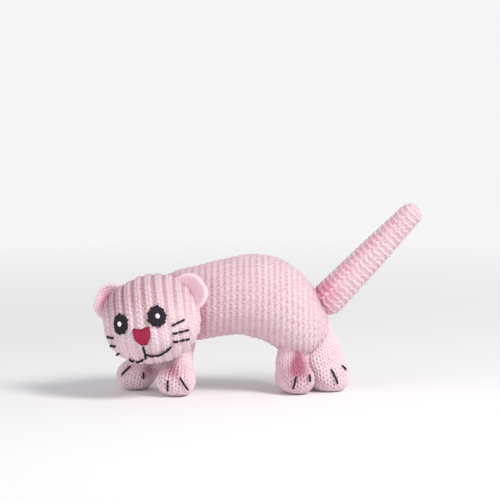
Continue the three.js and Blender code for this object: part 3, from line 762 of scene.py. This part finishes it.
def ear_material():
    n = Nodes("pink_ear")
    place = n.place()
    # painted shade: rose deep in the cup, fading to pale at the rim
    colour = n.ramp(n.attribute("crease"), shades(
        (0, 250, 224, 232), (0.35, 244, 200, 214), (0.7, 204, 120, 144), (1, 178, 88, 114),
    ))
    # painted shade: yarn lying lower in the knitting is rosier
    depth = n.span(n.attribute("level"), -0.4, 0.4)
    colour = n.mix(n.span(depth, 0.0, 1.0, 0.25, 0.0), colour, srgb(198, 110, 138))
    cloud = n.noise(place, 420, 3)
    colour = n.mix(n.span(cloud, 0.3, 0.7, 0.0, 0.2), colour, srgb(250, 226, 234))
    fine = n.noise(place, 2600, 3)
    n.bump(fine, 0.5, 0.0003)
    return n.finish(colour, n.span(fine, 0.3, 0.7, 0.85, 1.0), 0.4, srgb(252, 232, 238))


ear_cloth = ear_material()


# Painted shade where the pieces meet makes the yarn deeper in colour

# How far the painted shade at a seam spreads, in millimetres
SEAM_SHADE_WIDTH = 1.6


def falloff(distance, width=SEAM_SHADE_WIDTH):
    return np.exp(-np.maximum(distance, 0) / width)


def head_gap(points):
    """About how far points lie outside the head, in millimetres."""
    local = (points - HEAD) @ HEAD_TURN
    level = np.hypot(local[:, 0], local[:, 1]) / (HEAD_WIDE / 2)
    rise = np.abs(local[:, 2]) / (HEAD_HIGH / 2)
    return ((level**HEAD_FULL + rise**HEAD_FULL) ** (1 / HEAD_FULL) - 1) * HEAD_WIDE / 2


def torso_painted_shade(points):
    total = falloff(head_gap(points))
    for name, leg in LEGS.items():
        # painted shade at each leg's seam, faint at the hind right
        seam_shade = 0.15 if name == "hind_right" else 1
        total = total + seam_shade * falloff(np.linalg.norm(points - leg["root"], axis=1) - leg["radius"])
    total = total + falloff(np.linalg.norm(points - TAIL_ROOT, axis=1) - TAIL_RADII[0] - 0.6, 1.8)
    # painted shade: the yarn is rosier towards the chest and the belly
    chest = limit((18 - points[:, 0]) / 46)
    belly = limit((30 - points[:, 2]) / 12) * limit((22 - points[:, 0]) / 20)
    return np.minimum(total + 0.2 * chest + 0.1 * belly, 1)


def leg_painted_shade(name, shade_share):
    # painted shade in the pleat over the paw, and over all of the leg by its share
    strength = {"front_left": 0.75, "front_right": 0.85, "hind_left": 1.2}.get(name, 0)
    return lambda points: np.minimum(shade_share + strength * pleat_share(name, points), 1)


def place_piece(obj, body, slot, *nodes):
    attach(obj, body)
    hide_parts(*nodes)


def sew(strands, material, body, slot, node):
    place_piece(strands.build(f"{node}_stitches", material), body, slot, node)


# Torso

torso = torso_skin()
torso_lining = lining("torso_body", torso, INSETS["torso"])
place_piece(torso_lining, "torso", "pink_knit", "torso_stuffing")
slices = upright_slices(torso)
torso_yarn = ring_knit(slices, torso_painted_shade, **KNITS["torso"]).build("torso_knit", torso_knit)
place_piece(torso_yarn, "torso", "pink_knit", "torso_cover")

# Head

head = head_skin()


def rib(s, turn):
    """How deep the grooves between the ribs are and how much painted shade darkens them: most on the
    forehead, least under the chin.
    """
    angle = np.degrees(turn) % 360
    below = limit((angle - 155) / 35) * limit((330 - angle) / 30)
    front = limit((angle - 55) / 40) * limit((195 - angle) / 35)
    flat = limit(np.minimum(s / 18, (head.long - s) / 22))
    return (0.42 - 0.3 * below) * flat, (0.06 + front * (0.3 - 0.1 * s / head.long)) * flat


def head_painted_shade(points):
    """Painted shade, greyer over the forehead and most at the left, away from the light."""
    local = (points - HEAD) @ HEAD_TURN
    high = limit((local[:, 2] - 1) / 9)
    left = limit(0.5 - local[:, 0] / 24)
    return high * (0.18 + 0.26 * left) + 0.1 * left


def rib_inset(s, turn):
    end = KNITS["head"]["ends"][0]
    courses = round((head.long - 2 * end) / KNITS["head"]["pitch"])
    groove = (1 - np.cos((s - end) / (head.long - 2 * end) * courses / 2 * TURN)) / 2
    return INSETS["head"] + groove * rib(s, turn)[0]


head_lining = lining("head_body", head, rib_inset, rows=170, columns=90)
place_piece(head_lining, "head", "pink_knit", "head_stuffing")
head_yarn = ring_knit(head, head_painted_shade, rib=rib, **KNITS["head"]).build("head_knit", head_knit)
place_piece(head_yarn, "head", "pink_knit", "head_cover")

# Legs

for name in LEGS:
    skin = leg_skin(name, *HIPS[name])
    inner = lining(f"{name}_body", skin, INSETS["leg"], floor=0.4, rows=48, columns=48)
    place_piece(inner, f"{name}_leg", "pink_knit", f"{name}_stuffing")
    depth, shade_share = LEG_LOOKS[name]
    yarn = ring_knit(
        skin, leg_painted_shade(name, shade_share), face="rib", relief=LEG_RELIEF * depth, valley=LEG_VALLEY * depth,
        **KNITS["leg"],
    )
    knitted = yarn.build(f"{name}_knit", knit, floor=0.0)
    place_piece(knitted, f"{name}_leg", "pink_knit", f"{name}_cover")

# Tail

tail = tail_skin()
# Two drawn-in lines of stitches along it get painted shade in dashes, with painted shade between them
# (degrees)
TAIL_LINES, TAIL_BAND, DASH = (112, 158), 135, 2.2


def tail_groove(turn):
    angle = np.degrees(turn) % 360
    return 0.45 * sum(np.exp(-(((angle - middle + 180) % 360 - 180) / 9) ** 2) for middle in TAIL_LINES)


def tail_painted_shade(points):
    offset = points - TAIL_ROOT
    reach = offset @ TAIL_WAY
    angle = np.degrees(np.arctan2(offset @ (-TAIL_WAY[2], 0, TAIL_WAY[0]), offset[:, 1])) % 360
    band = np.exp(-(((angle - TAIL_BAND) / 24) ** 4)) * 0.26
    dashes = 0.5 + 0.5 * np.cos(reach / DASH * TURN)
    rows = sum(np.exp(-(((angle - middle) / 8) ** 2)) for middle in TAIL_LINES) * 0.65 * dashes
    fade = limit((TAIL_LONG + 1 - reach) / 8)
    # painted shade near the root, most on the upper side
    upper = np.exp(-(((angle - 140) / 62) ** 4))
    return np.minimum((band + rows) * fade + (0.1 + 0.42 * upper) * falloff(reach - 4, 2.8), 1)


tail_lining = lining("tail_body", tail, INSETS["tail"], rows=64, columns=40)
place_piece(tail_lining, "tail", "pink_knit", "tail_stuffing")
tail_yarn = ring_knit(
    tail, tail_painted_shade, groove=tail_groove, rib=lambda s, turn: (0.16, 0.06), **KNITS["tail"],
)
tail_yarn = tail_yarn.build("tail_knit", tail_knit)
place_piece(tail_yarn, "tail", "pink_knit", "tail_cover")

# Ears: soft cups with a rolled rim

EAR_PROFILE = (
    (0, 0.9), (0.25, 0.75), (0.48, 0.3), (0.66, -0.35), (0.8, -1.05), (0.9, -1.5), (0.965, -1.45),
    (0.995, -0.8), (0.99, 0.5), (0.94, 1.9), (0.8, 3.3), (0.55, 4.4), (0.28, 4.9), (0, 5),
)


def ear_piece(side):
    across, up, shade_share = EARS[side]
    hand = -1 if side == "left" else 1
    lean = math.radians(EAR_LEAN)
    seat = np.array([across * HEAD_WIDE / 2, -0.5, up * HEAD_HIGH / 2])
    along = np.array([math.sin(lean), 0, -math.cos(lean)])
    out = np.array([math.cos(lean), 0, math.sin(lean)])
    rows, columns = 110, 168
    profile = run_through([(a, b, 0) for a, b in EAR_PROFILE], np.linspace(0, 1, rows))
    turn = ring_angles(columns)
    wide, deep = np.maximum(profile[:, 0], 1e-3), profile[:, 1]
    # the rim is a little uneven, as sewn cloth is
    wave_round = 1 + 0.018 * np.sin(turn * 3 + 0.6 + hand) + 0.012 * np.sin(turn * 5)
    square = np.abs(np.cos(turn)) ** EAR_SQUARE + np.abs(np.sin(turn)) ** EAR_SQUARE
    wave_round *= square ** (-1 / EAR_SQUARE)
    grid = (
        seat
        + out * (EAR_REACH * wide[:, None] * np.cos(turn) * wave_round)[..., None]
        + along * (EAR_HALF * wide[:, None] * np.sin(turn) * wave_round)[..., None]
        + np.array([0, 1.0, 0]) * (deep[:, None] * (1 + 0.06 * np.cos(turn * 2)))[..., None]
    )
    if hand < 0:
        grid = (grid * (-1, 1, 1))[:, ::-1]
    grid = from_head(grid)
    skin = Skin(grid)
    # fine knitting: rows of small stitches that run round the cup
    row_high, stitch_wide, fewest, relief = 1.5, 1.9, 6, 0.07
    ring = skin.run[:, None] / row_high
    stitch = turn[None] * np.maximum(np.round(skin.girth[:, None] / stitch_wide), fewest)
    knit_height = relief * np.cos(ring * TURN) + relief * np.cos(stitch + (np.round(ring) % 2) * math.pi)
    grid = grid + skin.normal * knit_height[..., None]
    # painted shade in the cup: rose deep inside, paler towards the rim
    inner = limit(1.1 - (profile[:, 0] / 0.84) ** 2.4) * (np.arange(rows) < rows * 0.5)
    cup_shade = (inner[:, None] * (0.9 + 0.1 * np.cos(turn * 2)) * shade_share).ravel()
    obj = new_mesh(
        f"ear_{side}_cup", grid.reshape(-1, 3), quad_faces(rows, columns), ear_cloth,
        floats=(("level", knit_height.ravel()), ("crease", cup_shade)),
    )
    place_piece(obj, f"{side}_ear", "pink_knit", f"ear_{side}")


for side in EARS:
    ear_piece(side)

# Face embroidery

def on_patch(azimuth, height, x, z, lift):
    place, out = on_face(azimuth + np.asarray(x) / (HEAD_WIDE / 2), height + np.asarray(z))
    return place + out * np.asarray(lift, float)[..., None], out


def patch_stitch(strands, azimuth, height, start, end, low, high, radius, steps=14):
    """A straight satin stitch with round ends that arches from one place on the face to another."""
    share = (1 - np.cos(np.linspace(0, math.pi, steps))) / 2
    x = start[0] + (end[0] - start[0]) * share
    z = start[1] + (end[1] - start[1]) * share
    arch = np.sin(share * math.pi) ** 0.5
    lift = low + (high - low) * arch
    points, out = on_patch(azimuth, height, x, z, lift)
    round_off = np.sqrt(np.clip(1 - np.abs(2 * share - 1) ** 5, 0.04, 1))
    strands.add(points, out, radius * round_off, lift)


def eye(side, azimuth, height, seed, wide, high_half, aside):
    """Fat stitches that fan out of the middle, a few longer ones first and shorter ones over the gaps."""
    azimuth = math.radians(azimuth)
    strands = Strands(8)
    for count, offset, inner, reach, high, radius in (
        (9, 0.0, 0.1, 0.93, 0.75, 0.86), (9, 0.5, 0.15, 0.84, 1.0, 0.82), (7, 0.25, 0.0, 0.6, 1.2, 0.7),
    ):
        for i in range(count):
            angle = (i + offset) / count * TURN + seed * 0.13
            wobble = 1 + 0.04 * math.sin(i * 2.4 + seed) + 0.03 * math.sin(i * 5.1 + offset)
            c, s = math.cos(angle) * wide, math.sin(angle) * high_half
            start, end = (c * inner, s * inner), (c * reach * wobble, s * reach * wobble)
            patch_stitch(strands, azimuth, height, start, end, 0.15, high, radius)
    sew(strands, black, "head", "black_thread", f"eye_{side}")
    star = Strands(7)
    for i in range(4):
        angle = i / 4 * math.pi + 0.35
        c, s = math.cos(angle) * 0.85, math.sin(angle) * 1.05
        patch_stitch(star, azimuth, height, (aside - c, -s), (aside + c, s), 1.5, 1.9 + 0.1 * i, 0.45)
    sew(star, white, "head", "white_thread", f"eye_glint_{side}")


eye("left", azimuth=-19.3, height=-0.45, seed=2, wide=3.95, high_half=5.0, aside=0.5)
eye("right", azimuth=25.3, height=0.8, seed=5, wide=4.45, high_half=5.1, aside=0.1)

NOSE_TOP = ((-1, 0.6), (-0.82, 0.98), (-0.5, 0.92), (-0.1, 0.8), (0.3, 0.9), (0.75, 1.02), (1, 0.55))
NOSE_LOW = (
    (-1, 0.1), (-0.84, -0.42), (-0.52, -0.82), (-0.15, -1), (0.15, -1.04), (0.52, -0.86), (0.84, -0.42),
    (1, 0.1),
)
# Its place on the face (degrees and mm), half width and half height
NOSE_TURN, NOSE_LEVEL, NOSE_WIDE, NOSE_HIGH = 5.4, -6.75, 3.95, 4.1


def nose():
    strands = Strands(8)
    for count, lift, radius, reach in ((8, 0.7, 0.62, 1.0), (7, 1.15, 0.56, 0.96)):
        for i in range(count):
            x = ((i + 0.5) / count * 2 - 1) * 0.9 * reach
            top = np.interp(x, *zip(*NOSE_TOP)) + 0.05 * math.sin(i * 3.1)
            low = np.interp(x, *zip(*NOSE_LOW)) + 0.05 * math.sin(i * 2.2)
            start = (x * NOSE_WIDE, top * NOSE_HIGH * reach - 0.25)
            end = (x * NOSE_WIDE * 0.84, low * NOSE_HIGH * reach + 0.25)
            high = lift + 0.12 * (i % 2)
            patch_stitch(strands, math.radians(NOSE_TURN), NOSE_LEVEL, start, end, 0.1, high, radius)
    sew(strands, red, "head", "red_thread", "nose")


nose()


def thread(node, body, points, outs, stitches, radius, gap, low=0.1, high=0.8, swell=0.2, steps=9):
    """Running stitches along a line of points: each rises out of the knitting and goes back in."""
    strands = Strands(7)
    run = distance_along(points)
    for i in range(stitches):
        a, b = (i + gap / 2) / stitches, (i + 1 - gap / 2) / stitches
        share = np.linspace(a, b, steps) * run[-1]
        line = np.stack([np.interp(share, run, points[:, k]) for k in range(3)], -1)
        way = unit(np.stack([np.interp(share, run, outs[:, k]) for k in range(3)], -1))
        arch = np.sin(np.linspace(0, 1, steps) * math.pi) ** 0.35
        lift = low + (high - low) * arch
        strands.add(line + way * lift[:, None], way, radius * (1 + swell * (arch - 0.5)), lift)
    sew(strands, black, body, "black_thread", node)


def face_thread(node, stops, stitches, radius, fine=24, **kind):
    """The stops are angles to the side (degrees) and heights as shares of the head's."""
    at = run_through([(a, h, 0) for a, h in stops], np.linspace(0, 1, fine))
    points, outs = on_face(np.radians(at[:, 0]), at[:, 1] * HEAD_HIGH)
    thread(node, "head", points, outs, stitches, radius, **kind)


nose_line = [(3.6, -0.29), (3, -0.34), (1.2, -0.385), (-2.5, -0.425)]
left_line = [(-8, -0.43), (-21, -0.446), (-33, -0.44), (-40, -0.405)]
right_line = [(3.5, -0.375), (8, -0.395), (19, -0.405), (32, -0.38), (41, -0.33)]
face_thread("nose_thread", nose_line, 2, 0.52, gap=0.02, low=0.5)
face_thread("mouth_thread_left", left_line, 3, 0.44, gap=0.3)
face_thread("mouth_thread_right", right_line, 3, 0.46, gap=0.06, low=0.5)
WHISKERS = {
    "left": (
        [(-34, -0.155), (-43, -0.145), (-52, -0.125)],
        [(-38, -0.245), (-46, -0.24), (-55, -0.232)],
        [(-45, -0.33), (-53, -0.335), (-63, -0.34)],
    ),
    "right": (
        [(41, -0.105), (50, -0.08), (60, -0.055)],
        [(41, -0.195), (53, -0.185), (67, -0.175)],
        [(42, -0.285), (56, -0.28), (72, -0.275)],
    ),
}
for side, count, gap in (("left", 2, 0.3), ("right", 3, 0.24)):
    for number, stops in enumerate(WHISKERS[side], 1):
        face_thread(f"whisker_thread_{side}_{number}", stops, count, 0.42, gap=gap, swell=0.35)

# Toe stitches

for name, leg in LEGS.items():
    *_, paw, toe = leg_parts(leg)
    axes = np.array([(-toe[1], toe[0], 0), (0, 0, 1), toe])
    half = np.array([leg["wide"], FOOT_HIGH, FOOT_TOE])
    for number, (top, foot) in enumerate(leg["stitches"], 1):
        across, up = np.linspace(top, foot, 16).T
        spot = np.stack([across, up, np.sqrt(1 - across**2 - up**2)], -1)
        points, outs = paw + (spot * half) @ axes, unit((spot / half) @ axes)
        thread(f"{name}_toe_stitch_{number}", f"{name}_leg", points, outs, 1, 0.42, gap=0.04, low=0.5)

# The nodes that stay inside

yarn_within = cloth_material("pink_gathering_yarn", srgb(206, 110, 140), srgb(232, 156, 178), scale=900)
gauze = cloth_material("sachet_gauze", srgb(224, 214, 194), srgb(240, 234, 220), scale=900)
herb = cloth_material("catnip_leaf", srgb(84, 96, 52), srgb(136, 142, 84), scale=900, roughness=0.9)
for name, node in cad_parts.items():
    for ending, material in (("gathering_yarn", yarn_within), ("sachet", gauze), ("dried_catnip", herb)):
        if name.endswith(ending):
            node.data.materials.clear()
            node.data.materials.append(material)

# Stage, light and camera

BACKGROUND = (0.92, 0.92, 0.92, 1)


def seen_directly(n):
    """One where the surface is seen, also in a reflection, and nought where it only gives light."""
    path = n.new("ShaderNodeLightPath").outputs
    seen = n.maths("MAXIMUM", path["Is Camera Ray"], path["Is Glossy Ray"])
    return n.maths("MAXIMUM", seen, path["Is Transmission Ray"])


def stage_floor():
    """White paper. Far off it is plain white, and near the toy it keeps the shadow."""
    mesh = bpy.data.meshes.new("floor")
    half, sides, below, near, far = 8.0, 4, -0.0003, 0.2, 0.55
    angles = [(i + 0.5) / sides * TURN for i in range(sides)]
    corners = [(half * math.cos(angle), half * math.sin(angle), below) for angle in angles]
    mesh.from_pydata(corners, [], [tuple(range(sides))])
    obj = add_object("floor", mesh)
    n = Nodes("floor_paper")
    colour = n.mix(n.noise(n.place(), 4, 2), srgb(249, 248, 248), srgb(251, 250, 250))
    mesh.materials.append(n.finish(colour, 0.9, 0.0, (1, 1, 1, 1)))
    distance = n.new("ShaderNodeVectorMath", {0: n.place()}, operation="LENGTH").outputs["Value"]
    amount = n.maths("MULTIPLY", seen_directly(n), n.span(distance, near, far))
    glow = n.new("ShaderNodeEmission", {"Color": BACKGROUND})
    blend = n.new("ShaderNodeMixShader", {0: amount, 1: n.shader.outputs[0], 2: glow.outputs[0]})
    n.put(n.tree.nodes["Material Output"], {"Surface": blend.outputs[0]})


stage_floor()


def lamp(name, place, aim, size, power, colour=(1, 1, 1)):
    data = bpy.data.lights.new(name, "AREA")
    data.shape = "DISK"
    data.size = size
    data.energy = power
    data.color = colour
    obj = add_object(name, data)
    obj.location = place
    obj.rotation_euler = (Vector(aim) - Vector(place)).to_track_quat("-Z", "Y").to_euler()


AIM = (-0.003, 0.01, 0.045)
lamp("key", (0.6, -0.5, 0.75), AIM, size=0.4, power=8.0, colour=(1, 0.985, 0.97))
lamp("fill", (-0.8, -0.6, 0.35), AIM, size=0.8, power=1.8)
lamp("low", (-0.3, -0.8, 0.05), (-0.05, 0, 0.006), size=0.25, power=0.45)

world = bpy.data.worlds.new("studio")
bpy.context.scene.world = world
sky = Nodes(world)
light = sky.tree.nodes["Background"]
sky.put(light, {"Color": (0.95, 0.96, 1, 1), "Strength": 0.5})
shown = sky.new("ShaderNodeBackground", {"Color": BACKGROUND})
both = sky.new("ShaderNodeMixShader", {0: seen_directly(sky), 1: light.outputs[0], 2: shown.outputs[0]})
sky.put(sky.tree.nodes["World Output"], {"Surface": both.outputs[0]})

camera = bpy.data.cameras.new("camera")
camera_obj = add_object("camera", camera)
bpy.context.scene.camera = camera_obj
DISTANCE, ELEVATION, VIEW_WIDTH = 3.0, math.radians(7), 0.215
target = (-0.00297, 0.01025, 0.0613)
camera_obj.location = (
    target[0], target[1] - DISTANCE * math.cos(ELEVATION), target[2] + DISTANCE * math.sin(ELEVATION),
)
camera_obj.rotation_euler = (math.pi / 2 - ELEVATION, 0, 0)
camera.sensor_width = 36
camera.lens = camera.sensor_width * DISTANCE / VIEW_WIDTH
camera.clip_start, camera.clip_end = 0.01, 20
bpy.context.scene.view_settings.view_transform = "Standard"
